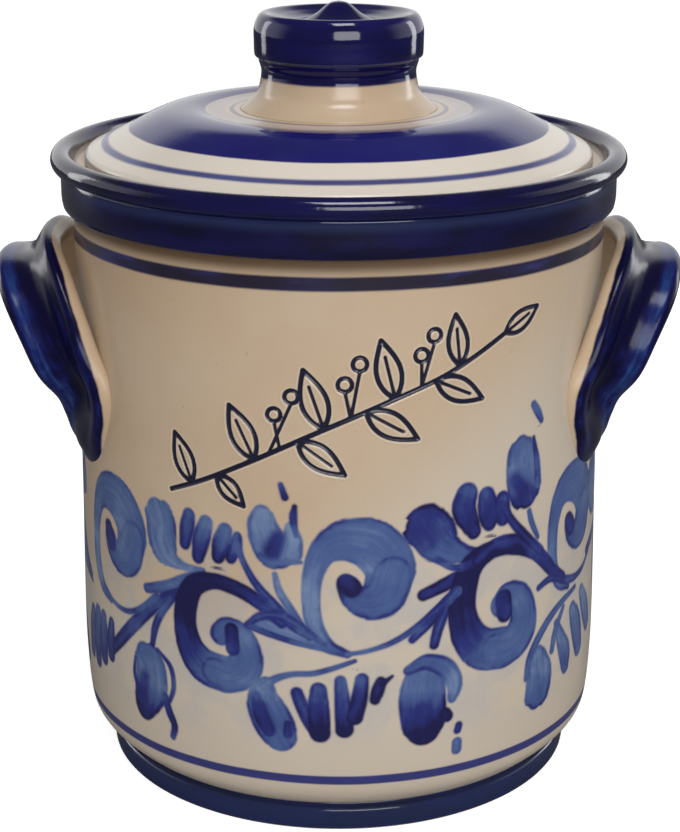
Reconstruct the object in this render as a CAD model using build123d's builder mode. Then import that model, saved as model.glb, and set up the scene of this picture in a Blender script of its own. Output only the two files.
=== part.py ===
"""Salt-glazed stoneware preserving crock with a loose domed lid and two ear handles.

The crock is thrown, with a turned foot, a rolled lip and a ledge inside the mouth.
The lid drops onto that ledge. Its knob is turned apart and stuck on with clay slip.
Each handle is one pulled strap, bent to an arch, with both ends thumbed onto the wall.
Millimetres, +Z up, origin on the axis at the foot's underside, front toward -Y.
"""
import math
import os

from build123d import *

# Crock wall
wall_radius = 98.6
wall_height = 212.5
wall_thickness = 6.6
# Points up the outer wall: height share of wall_height, then share of wall_radius
wall_outline_shares = [
    (0.052, 0.902),
    (0.066, 0.936),
    (0.085, 0.973),
    (0.108, 0.989),
    (0.170, 0.999),
    (0.270, 1.002),
    (0.520, 0.993),
    (0.760, 0.989),
    (1.000, 0.988),
]

# Foot and floor
foot_set_in = 9.6
foot_height = 8.5
foot_waist_depth = 3.4
foot_ring_width = 11.0
foot_recess_depth = 3.0
foot_edge_rounding = 1.2
floor_thickness = 7.0
floor_corner_radius = 18.0

# Rim: a collar, a rolled lip above it, and a ledge inside that carries the lid
collar_overhang = 2.9
collar_height = 13.4
collar_foot_inset = 1.5
collar_round_height = 4.3
rim_groove_depth = 0.7
lip_overhang = 3.5
lip_roll_radius = 3.9
lip_centre_height = 17.2
lip_start_angle = -50.0
lip_sweep_angle = 200.0
ledge_height = 15.5
ledge_width = 7.7
ledge_set_in = 7.8
throat_depth = 9.0
throat_slope_height = 10.0

# Lid
lid_clearance = 4.6
lid_crown_height = 18.2
lid_edge_height = 4.2
lid_edge_rounding = 1.6
lid_thickness = 6.5
# Points over the lid's top: share of lid_radius, then share of lid_crown_height
lid_outline_shares = [
    (0.490, 0.975),
    (0.590, 1.035),
    (0.680, 0.985),
    (0.760, 0.830),
    (0.850, 0.590),
    (0.930, 0.370),
]
locating_ring_clearance = 2.4
locating_ring_width = 5.0
locating_ring_depth = 7.0
locating_ring_rounding = 1.5

# Knob
knob_radius = 30.7
knob_height = 34.4
knob_foot_radius = 36.0
knob_foot_rise_share = 0.35
knob_bore_radius = 20.0
knob_bore_depth = 24.0
knob_bore_rounding = 6.0
knob_nub_rise = 3.9
# Points up the knob's side to its crest: share of knob_radius, then share of knob_height
knob_side_shares = [
    (1.060, 0.085),
    (0.960, 0.185),
    (0.918, 0.380),
    (0.955, 0.505),
    (0.997, 0.640),
    (0.997, 0.820),
    (0.945, 0.965),
    (0.860, 1.000),
]
# Points over the dished top to the nub, in the same shares
knob_dish_shares = [
    (0.700, 0.960),
    (0.480, 0.915),
    (0.280, 0.965),
    (0.110, 1.085),
]

# Handles
strap_top_set_down = 12.0
strap_drop = 76.0
strap_reach = 28.3
strap_thickness = 9.5
# Places along half of a strap, from the arch's top to its front end. Each gives, for the
# inner edge and then the outer edge, the angle in front of the handle's middle in degrees,
# the share of strap_reach beyond the wall and the share of strap_drop below the top.
strap_inner_edge_shares = [
    (0.0, 0.198, 0.000),
    (11.0, 0.198, 0.013),
    (19.5, 0.163, 0.105),
    (26.5, 0.127, 0.276),
    (31.0, 0.092, 0.441),
    (34.2, 0.049, 0.586),
    (34.2, 0.004, 0.717),
    (31.5, -0.032, 0.868),
    (28.0, -0.085, 1.006),
    (23.5, -0.170, 1.090),
]
strap_outer_edge_shares = [
    (0.0, 1.003, 0.164),
    (8.0, 0.986, 0.184),
    (14.0, 0.922, 0.283),
    (17.5, 0.763, 0.434),
    (18.0, 0.569, 0.586),
    (14.0, 0.269, 0.724),
    (10.0, 0.127, 0.842),
    (7.0, 0.028, 0.954),
    (8.5, -0.120, 1.010),
    (13.0, -0.190, 1.085),
]
# At the same places: share of strap_thickness, how much of it the channel leaves, and how
# far the section has filled out from ridges and channel to one rounded hump
strap_body_shares = [
    (1.00, 0.59, 0.00),
    (1.00, 0.59, 0.00),
    (1.00, 0.59, 0.00),
    (0.96, 0.58, 0.00),
    (0.94, 0.54, 0.00),
    (0.98, 0.47, 0.00),
    (1.04, 0.70, 0.25),
    (1.06, 0.86, 0.65),
    (0.80, 0.90, 1.00),
    (0.48, 0.90, 1.00),
]
strap_hump_share = 1.20
# Outline of a strap section as shares of its width and thickness, from the inner edge
# over the ridge, the channel and the outer ridge, and back along the underside
inner_ridge_shares = [(0.00, 0.42), (0.05, 0.82), (0.14, 1.00), (0.28, 0.82)]
channel_place_shares = [0.44, 0.60]
outer_ridge_shares = [(0.75, 0.78), (0.87, 0.95), (0.97, 0.80), (1.00, 0.40)]
underside_shares = [(0.93, 0.07), (0.72, 0.00), (0.28, 0.00), (0.06, 0.08)]

# Sizes that follow from the ones above: each piece keeps to the one it sits on
foot_radius = wall_radius - foot_set_in
collar_radius = wall_radius + collar_overhang
lip_radius = collar_radius + lip_overhang
ledge_radius = lip_radius - ledge_set_in
lid_radius = ledge_radius - lid_clearance
strap_top_height = wall_height - strap_top_set_down
wall_top_radius = wall_radius * wall_outline_shares[-1][1]
waist_radius = foot_radius - foot_waist_depth
floor_top = foot_recess_depth + floor_thickness
inner_radius = wall_radius - wall_thickness
lip_centre = (lip_radius - lip_roll_radius, wall_height + lip_centre_height)
ledge_top = wall_height + ledge_height
throat_radius = ledge_radius - ledge_width
lid_crown = ledge_top + lid_crown_height


def outer_wall_points():
    """Points up the outer wall, from just above the foot to the collar."""
    return [(wall_radius * across, wall_height * up) for up, across in wall_outline_shares]


def on_lip(angle):
    """Point on the rolled lip at an angle from its outermost point, in degrees."""
    turn = math.radians(angle)
    return (
        lip_centre[0] + lip_roll_radius * math.cos(turn),
        lip_centre[1] + lip_roll_radius * math.sin(turn),
    )


def corners_near(section, *places):
    """The vertex of a section that is nearest to each place."""
    return [section.vertices().sort_by_distance(place)[0] for place in places]


def strap_line(points, shares, ends):
    """Smooth line through the points, which reaches each at its share of the way."""
    return Edge.make_spline([Vector(*point) for point in points], tangents=ends, parameters=shares)


def strap_edge(place, shares, side):
    """Point on one edge of a strap; a negative place is on its rear half."""
    fore, reach, drop = shares[abs(place)]
    turn = math.radians(math.copysign(fore, place))
    radius = wall_top_radius + strap_reach * reach
    height = strap_top_height - strap_drop * drop
    return Vector(side * radius * math.cos(turn), -radius * math.sin(turn), height)


def strap_middle(place, side):
    """Point midway between the strap's edges."""
    inner = strap_edge(place, strap_inner_edge_shares, side)
    outer = strap_edge(place, strap_outer_edge_shares, side)
    return (inner + outer) / 2


def strap_plane(place, side):
    """Plane across the strap, with its X toward the outer edge and its Y out of the face."""
    last = len(strap_body_shares) - 1
    inner = strap_edge(place, strap_inner_edge_shares, side)
    across = strap_edge(place, strap_outer_edge_shares, side) - inner
    fore = strap_middle(min(place + 1, last), side)
    aft = strap_middle(max(place - 1, -last), side)
    face = (fore - aft).cross(across) * side
    return Plane(origin=inner, x_dir=across, z_dir=across.cross(face))


def run_shares(points):
    """How far along a line each of its points is, as a share of its length."""
    steps = [math.dist(here, there) for here, there in zip(points, points[1:])]
    return [sum(steps[:number]) / sum(steps) for number in range(len(points))]


def strap_section_points(place, side):
    """Face line and underside line of the strap's section, in the plane of strap_plane."""
    inner = strap_edge(place, strap_inner_edge_shares, side)
    outer = strap_edge(place, strap_outer_edge_shares, side)
    width = (outer - inner).length
    body_share, channel_share, hump_share = strap_body_shares[abs(place)]
    thickness = strap_thickness * body_share
    channel = [(across, channel_share) for across in channel_place_shares]
    ridged_line = inner_ridge_shares + channel + outer_ridge_shares
    edge_share = outer_ridge_shares[-1][1]
    face_line = []
    for across, up in ridged_line:
        swell = math.sqrt(math.sin(math.pi * across))
        hump = edge_share + (strap_hump_share - edge_share) * swell
        face_line.append((across, up + (hump - up) * hump_share))
    back_line = [face_line[-1], *underside_shares, face_line[0]]
    return [
        [(width * across, thickness * (up - 1 / 2)) for across, up in line]
        for line in (face_line, back_line)
    ]


# Crock: foot, wall, collar, lip, ledge and floor in one turn
with BuildPart() as pot_body:
    with BuildSketch(Plane.XZ) as section:
        with BuildLine():
            recess_radius = foot_radius - foot_ring_width
            wall_points = outer_wall_points()
            wall_foot = wall_points[0]
            wall_top = wall_points[-1]
            Polyline(
                (0, foot_recess_depth),
                (recess_radius, foot_recess_depth),
                (recess_radius, 0),
                (foot_radius, 0),
                (foot_radius, foot_height),
                (waist_radius, foot_height),
                wall_foot,
            )
            Spline(wall_points)
            collar_foot = (collar_radius - collar_foot_inset, wall_height)
            collar_shoulder = (collar_radius, wall_height + collar_round_height)
            Line(wall_top, collar_foot)
            Spline(collar_foot, collar_shoulder, tangents=((1, 1), (0, 1)))
            Polyline(
                collar_shoulder,
                (collar_radius, wall_height + collar_height),
                (collar_radius - rim_groove_depth, wall_height + collar_height + rim_groove_depth),
                on_lip(lip_start_angle),
            )
            CenterArc(lip_centre, lip_roll_radius, lip_start_angle, lip_sweep_angle)
            Polyline(
                on_lip(lip_start_angle + lip_sweep_angle),
                (ledge_radius, ledge_top),
                (throat_radius, ledge_top),
                (throat_radius, ledge_top - throat_depth),
                (inner_radius, ledge_top - throat_depth - throat_slope_height),
                (inner_radius, floor_top + floor_corner_radius),
            )
            corner_centre = (inner_radius - floor_corner_radius, floor_top + floor_corner_radius)
            CenterArc(corner_centre, floor_corner_radius, 0, -90)
            Polyline(
                (inner_radius - floor_corner_radius, floor_top),
                (0, floor_top),
                (0, foot_recess_depth),
            )
        make_face()
        foot_corners = corners_near(section, (foot_radius, 0), (foot_radius, foot_height))
        fillet(foot_corners, foot_edge_rounding)
    revolve(axis=Axis.Z)
pot_body.part.label = "pot_body"

# Solid that fills the crock to its outer wall, for trimming the straps flush with it
with BuildPart() as wall_core:
    with BuildSketch(Plane.XZ):
        with BuildLine():
            core_points = outer_wall_points()
            Polyline((0, wall_height), (0, foot_height), core_points[0])
            Spline(core_points)
            Line(core_points[-1], (0, wall_height))
        make_face()
    revolve(axis=Axis.Z)

# Handles: each a strap lofted through its sections and trimmed flush with the wall
last_place = len(strap_body_shares) - 1
face_run, back_run = [run_shares(line) for line in strap_section_points(0, 1)]
up = Vector(0, 1)
with BuildPart() as handle_right:
    for place in range(-last_place, last_place + 1):
        with BuildSketch(strap_plane(place, 1)):
            with BuildLine():
                face_points, back_points = strap_section_points(place, 1)
                add(strap_line(face_points, face_run, (up, -up)))
                add(strap_line(back_points, back_run, (-up, up)))
            make_face()
    loft()
    add(wall_core.part, mode=Mode.SUBTRACT)
handle_right.part.label = "handle_right"

with BuildPart() as handle_left:
    mirror(handle_right.part, about=Plane.YZ)
handle_left.part.label = "handle_left"

# Lid: a dome with a flat seat for the knob, an opening under it and a locating ring
with BuildPart() as lid:
    with BuildSketch(Plane.XZ) as section:
        with BuildLine():
            ring_radius = throat_radius - locating_ring_clearance
            ring_inner_radius = ring_radius - locating_ring_width
            ring_foot = ledge_top - locating_ring_depth
            dome = [
                (lid_radius * across, ledge_top + lid_crown_height * up)
                for across, up in lid_outline_shares
            ]
            edge_top = (lid_radius, ledge_top + lid_edge_height)
            seat_rim = (knob_foot_radius, lid_crown)
            underside = [(across, up - lid_thickness) for across, up in dome[:-1]]
            Line((knob_bore_radius, lid_crown), seat_rim)
            Spline(seat_rim, *dome, edge_top)
            Polyline(
                edge_top,
                (lid_radius, ledge_top),
                (ring_radius, ledge_top),
                (ring_radius, ring_foot),
                (ring_inner_radius, ring_foot),
                (ring_inner_radius, ledge_top),
            )
            Spline(
                (ring_inner_radius, ledge_top),
                *reversed(underside),
                (knob_foot_radius, lid_crown - lid_thickness),
            )
            Polyline(
                (knob_foot_radius, lid_crown - lid_thickness),
                (knob_bore_radius, lid_crown - lid_thickness),
                (knob_bore_radius, lid_crown),
            )
        make_face()
        fillet(corners_near(section, edge_top), lid_edge_rounding)
        ring_corners = corners_near(section, (ring_radius, ring_foot), (ring_inner_radius, ring_foot))
        fillet(ring_corners, locating_ring_rounding)
    revolve(axis=Axis.Z)
lid.part.label = "lid"

# Knob: a hollow turned grip with a dished top and a small nub
with BuildPart() as lid_knob:
    with BuildSketch(Plane.XZ) as section:
        with BuildLine():
            side_line = [
                (knob_radius * across, lid_crown + knob_height * up)
                for across, up in knob_side_shares + knob_dish_shares
            ]
            nub_top = (0, lid_crown + knob_height + knob_nub_rise)
            bore_top = lid_crown + knob_bore_depth
            foot_direction = (-1, knob_foot_rise_share)
            knob_foot = (knob_foot_radius, lid_crown)
            Spline(knob_foot, *side_line, nub_top, tangents=(foot_direction, (-1, 0)))
            Polyline(
                nub_top,
                (0, bore_top),
                (knob_bore_radius, bore_top),
                (knob_bore_radius, lid_crown),
                knob_foot,
            )
        make_face()
        fillet(corners_near(section, (knob_bore_radius, bore_top)), knob_bore_rounding)
    revolve(axis=Axis.Z)
lid_knob.part.label = "lid_knob"

os.makedirs("parts", exist_ok=True)
export_step(pot_body.part, "parts/pot_body.step")
export_step(handle_left.part, "parts/handle_left.step")
export_step(handle_right.part, "parts/handle_right.step")
export_step(lid.part, "parts/lid.step")
export_step(lid_knob.part, "parts/lid_knob.step")
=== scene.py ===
"""Dresses the salt-glazed crock: wall, straps, lid and knob, with cobalt painting, on a floor."""
import math

import bmesh
import bpy
import numpy as np
from mathutils import Matrix, Vector


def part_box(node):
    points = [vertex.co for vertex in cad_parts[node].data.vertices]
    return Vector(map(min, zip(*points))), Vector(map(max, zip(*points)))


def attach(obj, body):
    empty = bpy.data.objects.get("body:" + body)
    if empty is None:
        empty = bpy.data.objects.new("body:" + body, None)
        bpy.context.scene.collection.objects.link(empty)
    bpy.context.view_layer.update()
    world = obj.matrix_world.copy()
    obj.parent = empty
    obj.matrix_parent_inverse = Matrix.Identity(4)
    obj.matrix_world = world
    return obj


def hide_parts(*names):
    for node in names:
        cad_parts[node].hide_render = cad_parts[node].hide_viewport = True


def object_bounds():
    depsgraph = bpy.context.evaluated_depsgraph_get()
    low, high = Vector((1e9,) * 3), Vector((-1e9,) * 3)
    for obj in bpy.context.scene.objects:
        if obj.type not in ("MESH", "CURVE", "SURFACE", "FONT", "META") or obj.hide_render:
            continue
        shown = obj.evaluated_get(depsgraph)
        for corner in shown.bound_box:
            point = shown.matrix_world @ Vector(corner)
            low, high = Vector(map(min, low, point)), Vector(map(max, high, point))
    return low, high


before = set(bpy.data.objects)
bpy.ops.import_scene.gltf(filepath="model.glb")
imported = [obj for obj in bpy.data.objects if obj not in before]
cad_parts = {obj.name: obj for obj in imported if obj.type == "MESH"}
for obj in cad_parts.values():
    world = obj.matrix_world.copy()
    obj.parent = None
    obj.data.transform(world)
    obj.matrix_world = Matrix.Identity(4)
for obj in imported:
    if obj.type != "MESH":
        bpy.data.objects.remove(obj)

bl_info = {
    "name": "Painted stoneware crock",
    "version": (1, 0, 0),
    "blender": (4, 5, 0),
    "location": "3D View > Sidebar > Crock",
    "description": "Models and paints a lidded preserving crock around its construction",
    "category": "Object",
}

MM = 0.001
CAD_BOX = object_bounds()

# Outlines of the turned pieces in millimetres, radius first
WALL_OUTLINE = [
    (88.9, 11), (92.3, 14), (95.9, 18.1), (97.5, 23), (98.5, 36.1),
    (98.8, 57.4), (97.9, 110.5), (97.5, 161.5), (97.4, 212.5),
]
LID_OUTLINE = [
    (36, 246.2), (45.4, 245.7), (54.6, 246.8), (63, 245.9), (70.4, 243.1),
    (78.7, 238.7), (86.1, 234.7), (92.2, 232.1),
]
KNOB_OUTLINE = [
    (36, 246.2), (32.5, 249.1), (29.5, 252.6), (28.1, 259.3), (28.9, 263.2), (29.3, 264.6),
    (30.3, 265.3), (30.6, 266.6), (30.7, 270.5), (30.6, 275.2), (29, 279.4), (26.4, 280.6),
    (21.5, 279), (14.9, 277.5), (8.6, 279.8), (3.6, 283.6), (0, 284.5),
]

# The lid's crown, where the knob stands on it, and the radius of the hollow through both
CROWN_HEIGHT = 246.2
HOLLOW_RADIUS = 20

# Straps: angle before the handle's middle in degrees, radius and height in millimetres,
# from the arch's top to the front end, along the inner edge and along the outer edge
STRAP_INNER_EDGE = [
    (0, 103, 200.5), (11, 103, 199.5), (19.5, 102, 192.5), (26.5, 101, 179.5),
    (31, 100, 167), (34.2, 98.8, 156), (34.2, 97.5, 146), (31.5, 96.5, 134.5),
    (28, 95, 124), (23.5, 92.6, 117.7),
]
STRAP_OUTER_EDGE = [
    (0, 125.8, 188), (8, 125.3, 186.5), (14, 123.5, 179), (17.5, 119, 167.5),
    (18, 113.5, 156), (14, 105, 145.5), (10, 101, 136.5), (7, 98.2, 128),
    (8.5, 94, 123.7), (13, 92, 118),
]
# Thickness in millimetres, the share of it that the channel leaves, and how far the section
# has filled out to one hump, at the same places
STRAP_BODY = [
    (9.5, 0.59, 0), (9.5, 0.59, 0), (9.5, 0.59, 0), (9.1, 0.58, 0), (8.9, 0.54, 0),
    (9.3, 0.47, 0), (9.9, 0.7, 0.25), (10.1, 0.86, 0.65), (7.6, 0.9, 1), (4.6, 0.9, 1),
]
# Height of that hump at its edges and in its middle, in shares of the thickness
STRAP_HUMP = (0.40, 1.20)
# Section of a strap in shares of width and thickness, the outer face first; None takes the
# channel's share
STRAP_SECTION = [
    (0, 0.42), (0.05, 0.82), (0.14, 1), (0.28, 0.82), (0.44, None), (0.6, None),
    (0.75, 0.78), (0.87, 0.95), (0.97, 0.8), (1, 0.4), (0.93, 0.07), (0.72, 0),
    (0.28, 0), (0.06, 0.08),
]
STRAP_FACE_POINTS = 10
# How far the cobalt stays from the section's start, and how far it runs round its outer edge
STRAP_BARE = 3.6
STRAP_OVERRUN = 1.5

# Radius at which the wall is painted, the part of the crock that takes paint, and a place
# that no stroke reaches, in millimetres
PAINTED_RADIUS = 98.0
PAINTED_OUTSIDE = 94
PAINTED_BELOW = 210
NOWHERE = 9999
# How far past its edge a stroke's field reaches, and how far apart two strokes lie in a layer
FIELD_REACH = 6.0
LAYER_CLEARANCE = 3.2
# How far a stroke's own edge may lie inside that of the stroke nearest on the mesh
EDGE_GUARD = 1.2
# Bristle marks: how fine they are across and along, and their shift from stroke to stroke
BRISTLES_ACROSS = 0.55
BRISTLES_ALONG = 0.06
BRISTLE_SHIFT = 1000
# How far the wetness of the brush sways its load
WETNESS = 0.52
# How each kind of stroke is laid: soft edge, raggedness, bristle marks and a darker rim
BRUSHES = {
    "wash": (0.6, 0.5, 0.34, 0.26),
    "stroke": (0.6, 0.4, 0.36, 0.20),
    "pool": (1.8, 1.4, 0.26, 0.0),
}

# Brushwork on the wall. A place is millimetres round the wall from the front, millimetres
# above the table, and half the stroke's width there. Each stroke ends with its loads of
# cobalt in hundredths, 0 for a thin wash and 100 for a dark pool, spread evenly along it.
WASHES = [
    ([(-26.5, 123.5, 3.4), (-26, 118, 5.6), (-23.5, 112, 6.6), (-20.5, 109, 5)], 30, 32, 60),
    ([(-16.5, 120, 1.6), (-16, 114.5, 3.6), (-16.5, 110.5, 4.4)], 24, 30, 38),
    ([(69, 142, 3.2), (69.5, 135, 7.2), (70.5, 127.5, 8), (72, 122.5, 5.2)], 42, 38, 48, 82),
    ([(-77, 61, 4.4), (-74, 56, 7.8), (-74, 49, 8.2), (-77, 42, 6), (-78, 38.5, 4.6)],
     46, 42, 50, 70, 100),
    ([(30.5, 65, 6.2), (29.5, 56.5, 8.6), (29.8, 49, 8.6), (30, 43, 6.6)], 42, 50, 80, 110),
    ([(-25.5, 61, 2.8), (-26.5, 55, 5.4), (-23.5, 47.5, 7.6), (-20.5, 41.5, 6.1)], 46, 52, 56, 66),
    ([(-69.5, 117.5, 4.6), (-67.5, 113, 7.2), (-67, 107, 6.6), (-64, 102, 3.8), (-57.5, 99.5, 1.8),
      (-49, 99.5, 1.1)], 50, 38, 42, 40),
    ([(-28, 83.5, 2.4), (-19, 81.5, 4), (-9, 78, 2.6)], 44, 36, 40),
    ([(28, 118.5, 5.2), (32, 117, 8.4), (36, 111, 6.2), (43.5, 107, 3.6), (53, 104.5, 2.2)],
     84, 62, 58, 74),
    ([(80, 60.5, 2.6), (81, 53.5, 5.8), (81, 47.5, 7.6), (79.5, 42, 4.4)], 38, 46, 60),
    ([(99, 47.5, 2.8), (98, 54, 4.4), (95, 60, 3.4), (91, 68, 1.6)], 54, 44, 38),
    ([(111, 51, 4), (108, 61, 5), (104, 69, 3)], 46, 40, 34),
    ([(122, 57, 4), (118, 65, 4.6), (113, 73, 2.6)], 44, 38, 32),
    ([(-75, 86.6, 2), (-65, 90, 2.4), (-56, 95, 2.2), (-49, 98, 1.6)], 74, 50, 60),
    ([(-99, 54, 2.2), (-93, 60, 2.8), (-84, 69, 2.9), (-75, 77.5, 2.7), (-67, 84.5, 2.4),
      (-57, 90, 2)], 80, 70, 84),
    ([(29.5, 93.6, 2.4), (39, 97, 2.8), (49, 100.8, 2.4)], 92, 84, 76),
    ([(25.5, 77.5, 1.6), (31, 83, 2.3), (37, 89, 2.2), (43, 94.5, 1.7)], 66, 70, 80),
    ([(33.5, 74.5, 1.9), (35, 80.5, 2.3), (38, 87.5, 2), (42, 94, 1.5)], 74, 66, 80),
]
STROKES = [
    ([(3, 73.5, 1), (10, 74.6, 1), (18, 77, 1.2), (26, 81.3, 1.4), (34, 87, 1.8),
      (42, 93, 2)], 50, 66),
    ([(-104, 78.5, 1), (-96, 74.4, 1.1), (-87, 74, 1.2), (-79, 77.5, 1.3), (-70, 85, 1.5)],
     46, 60),
    ([(92, 85.5, 1.8), (98, 82.5, 1.9), (106, 81, 1.6), (114, 82, 1.3), (122, 85.5, 1)], 70, 50),
    ([(-72.5, 66, 1.4), (-71, 73, 1.8), (-67.5, 79.5, 1.7), (-62.5, 85.5, 1.3)], 74, 66),
    ([(-54.5, 119, 2.6), (-55.5, 114, 3.2), (-56.5, 108, 2.4)], 60, 62, 80),
    ([(-47.5, 117.5, 2.8), (-49.5, 111, 3.7), (-51, 104, 2.5)], 48, 58, 82),
    ([(-40, 116, 2.7), (-41.5, 111, 3.7), (-43, 105.5, 2.5)], 50, 62, 84),
    ([(-35.5, 113.5, 2), (-36.5, 110, 2.6), (-38, 106, 2.2)], 60, 68, 84),
    ([(-35.5, 114.5, 1.6), (-34, 107, 1.3), (-29, 98, 1.6), (-22, 90.5, 2), (-16, 84, 2),
      (-10, 79.5, 1.2)], 62, 70),
    ([(-22, 102, 1.1), (-20.5, 96, 1.5), (-16.5, 89.5, 1.6), (-12, 83, 1.2)], 34, 50),
    ([(-32, 82.5, 1.2), (-27, 86.3, 1.7), (-20, 87, 1.8), (-12.5, 83, 1.5), (-5, 77, 1.1)],
     70, 60),
    ([(-32, 82, 1.2), (-25, 80, 1.3), (-15, 77.5, 1.1), (-4, 75, 0.9)], 62, 50),
    ([(-15, 127, 1), (-15.5, 122.5, 1.6), (-14.5, 116.5, 0.8)], 86, 80, 50),
    ([(-27, 108.8, 0.8), (-22, 106.6, 1.2), (-13, 107, 0.8)], 50, 44, 36),
    ([(-19.8, 134.5, 1.1), (-18.4, 130.2, 1.5)], 44, 84),
    ([(45.5, 128, 4.4), (44.5, 122.5, 4.8), (48.5, 114, 3)], 70, 86, 90),
    ([(53.5, 126, 3.6), (54.5, 120.5, 4.6), (55, 116, 3.2)], 70, 82, 90),
    ([(60.5, 123.5, 3.2), (61, 117, 3.6)], 70, 84),
    ([(33, 107, 1.2), (41, 102, 1.4), (50, 102.5, 1.6)], 62, 76),
    ([(50, 103, 2.4), (58, 107.4, 2.6), (67, 106.6, 2.8), (75, 102, 3), (82, 95.5, 3),
      (88, 89.5, 2.7), (95, 84.6, 2.2)], 82, 80),
    ([(60.5, 121.5, 1.6), (65, 114.5, 1.9), (71.5, 107.5, 2.1), (80, 99.5, 2)], 74, 80),
    ([(73.5, 116, 1.3), (75.2, 111, 1.4), (78.5, 105, 1.1)], 36, 52),
    ([(75, 143, 0.8), (77, 134.5, 1.6), (78, 125.5, 1.9)], 80, 72, 62),
    ([(74.6, 155, 1.6), (77, 151.5, 1.8), (79, 148.3, 1.3)], 42, 74),
    ([(79.5, 85.3, 1.4), (85, 86.7, 1.6), (90, 85.8, 1.5), (95, 83.6, 1.3)], 72, 70),
    ([(73.5, 52, 1.4), (75, 59, 1.8), (79.5, 65.5, 2), (86, 71, 1.9), (94, 74.7, 1.6),
      (106, 77, 1.1)], 58, 44),
    ([(88.5, 58, 1.6), (90.5, 65, 1.8), (96, 72.5, 1.3)], 50, 42),
    ([(-82.5, 57.5, 0.8), (-83, 50.5, 1.2), (-80, 44.5, 1.2)], 72, 86),
    ([(-70, 64.5, 0.8), (-63.8, 59.5, 1.2), (-62.5, 52, 1.2), (-64.5, 46, 1)], 60, 66, 80),
    ([(-66.5, 47, 1.6), (-65, 41.5, 1.9), (-62.8, 36.5, 1.7), (-64, 31.8, 1.4)], 74, 76),
    ([(5.5, 71, 0.9), (-7.5, 66.5, 1.2), (-16, 65.5, 1.2), (-22.5, 63, 1.5), (-27, 59, 1.8)],
     80, 56, 46, 40),
    ([(-29, 56, 1.8), (-27.5, 49, 2.8), (-24.5, 43, 2.4)], 66, 88, 80),
    ([(-17.8, 46.5, 1.3), (-17.8, 42.5, 1.8)], 76, 86),
    ([(-14.5, 58.5, 2.4), (-12.5, 53, 2.6), (-9.5, 47, 2.8), (-7, 43.5, 2.8)], 74, 78, 86),
    ([(-7, 60, 3), (-7, 52, 4), (-6.5, 43.5, 3.8)], 70, 92, 110),
    ([(0.5, 63.5, 2.2), (1.5, 53.5, 3.1), (2, 45, 3.4)], 66, 80, 102),
    ([(8, 64, 2.5), (7, 56.5, 3.1), (5.5, 49.5, 3)], 66, 90, 106),
    ([(14.5, 63, 1.9), (13.5, 59.5, 2.5), (12.5, 56, 2)], 84, 92),
    ([(18.5, 64.5, 0.6), (15, 62, 1.4)], 80, 90),
    ([(24, 66, 1.8), (31, 68.4, 3), (38, 65, 3.8), (41.5, 58.5, 3.2), (40.5, 53, 1.8)],
     66, 56, 42, 30),
    ([(38, 47.8, 2.3), (38.8, 46.4, 2.4)], 90, 94),
    ([(43.5, 42, 1.6), (43, 40, 1.6)], 66, 66),
    ([(43, 35.2, 2.1), (43, 32.4, 2.1)], 40, 46),
    ([(-120.5, 46, 3.4), (-119, 56, 4), (-117.5, 63, 3)], 72, 50),
    ([(-113, 45, 3.4), (-112.5, 56, 4), (-111.5, 65, 3)], 74, 52),
    ([(-106, 48.5, 3.2), (-106, 58, 3.8), (-105.5, 65.5, 2.6)], 76, 54),
    ([(-99.5, 52, 2.8), (-99.5, 59, 3.2), (-98.5, 65.5, 2.2)], 78, 60),
]
POOLS = [
    ([(-21, 115.5, 2.6), (-23, 110.5, 3.2)], 80, 92),
    ([(66, 129.5, 2.9), (70.5, 124.5, 3.2)], 78, 92),
    ([(-77, 51.5, 2.6), (-79, 44, 3)], 80, 96),
    ([(28, 117.5, 3.6), (30.5, 112.5, 3.8)], 84, 80),
    ([(-27, 52, 2.2), (-25, 45, 2.4)], 84, 88),
    ([(29, 50, 3.2), (29.5, 42, 4.4)], 84, 110),
    ([(98, 52, 1.2), (98.5, 49, 1.6)], 66, 70),
    ([(80, 50, 2), (80.5, 45.5, 2.4)], 62, 66),
]
# Volutes, drawn round their dark eye: one kind rolls over the top, the other hangs. Each is
# two strokes, the second of them round the eye.
ROLLING = (
    [(-0.5, -25.5, 1.5), (-7.5, -22, 2.6), (-12, -14, 3.2), (-13, -4, 3.4), (-12, 5, 3.9),
     (-8, 13, 5.2), (-0.5, 16.3, 7.4), (8.5, 14, 9.2), (14, 6, 9), (12.5, -3, 7.6)],
    [(15, 3, 7), (12.5, -4, 7.6), (7, -6.5, 6), (2, -4.5, 4.8), (-0.2, -0.5, 4.2)],
)
HANGING = (
    [(20.8, 8.2, 2), (13.2, 14.9, 2.8), (4.3, 19.2, 3), (-4.6, 20.4, 3.2), (-12.2, 17.2, 4.2),
     (-15.7, 10, 4.9), (-16.3, 1.5, 5.1), (-13.8, -6.8, 6), (-8.5, -12.2, 7),
     (-0.6, -13.8, 7.2)],
    [(-4, -13.5, 5.6), (1.5, -14.2, 6.2), (6.8, -10.5, 6.8), (8, -4, 5.8), (5.4, 1.4, 5.4),
     (1, 3.4, 4.6), (-1.6, 1.2, 4.4)],
)
# Their kinds, places and sizes, and the loads of their two strokes
HANGING_CENTRE = (-40.5, 76)
VOLUTES = [
    (ROLLING, (3.5, 99), 1, (80, 40, 34, 44, 56, 54, 48, 50), (46, 52, 62, 84)),
    (ROLLING, (-98, 100), 1, (56, 36, 32, 46, 52, 48, 46, 46), (44, 50, 56, 66)),
    (ROLLING, (100, 104), 0.96, (64, 42, 40, 52, 58, 52, 50, 50), (48, 54, 60, 76)),
    (HANGING, HANGING_CENTRE, 1, (70, 78, 92, 106, 112, 112, 106, 92, 60, 46),
     (50, 44, 56, 46, 62)),
    (HANGING, (62.5, 83), 1.12, (84, 90, 98, 104, 110, 112, 110, 98, 66, 50),
     (54, 48, 62, 50, 66)),
]
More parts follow.
